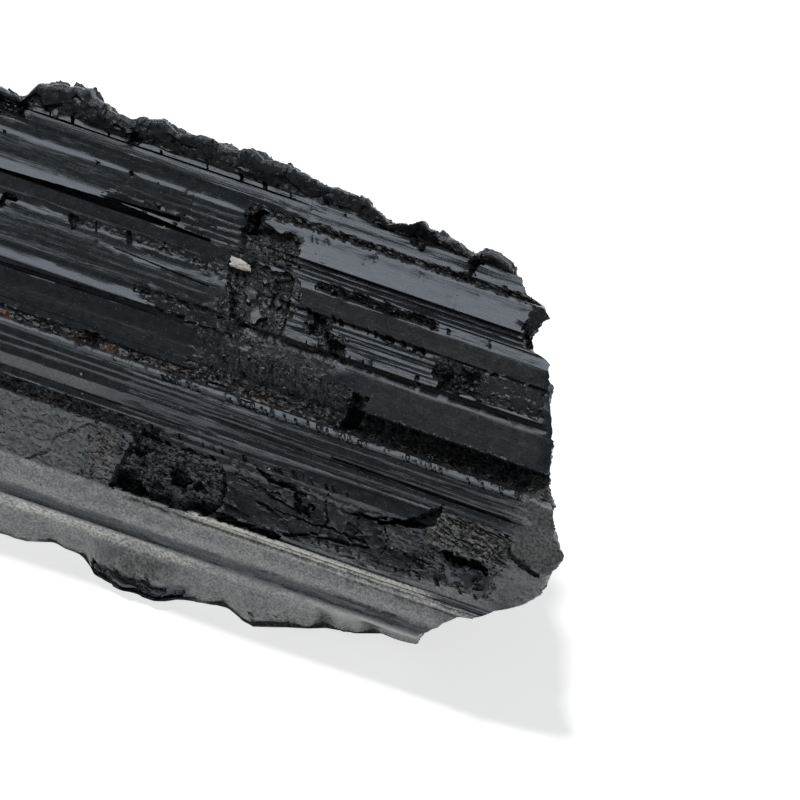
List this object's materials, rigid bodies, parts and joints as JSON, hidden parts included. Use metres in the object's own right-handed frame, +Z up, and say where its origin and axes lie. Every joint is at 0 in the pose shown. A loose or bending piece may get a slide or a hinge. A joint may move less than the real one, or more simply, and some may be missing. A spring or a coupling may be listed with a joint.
{
  "type": "tourmaline crystal",
  "caption": "Broken length of a black tourmaline crystal, a striated prism with ledges, chips and rough patches, lying on a flat side.",
  "frame": {"origin": "on the flat resting face, midway along the crystal and below its middle", "axes": "+X along the crystal to its pointed broken end, +Z up from the resting face, -Y towards the long sloping front"},
  "size_m": [0.0816, 0.0337, 0.0277],
  "materials": {
    "tourmaline": "near-black with a bluish-grey sheen on whole faces, matt grey-beige on the foot faces, dull and crumbly where torn"
  },
  "bodies": {
    "root": {"tourmaline_crystal": "tourmaline"}
  },
  "joints": []
}
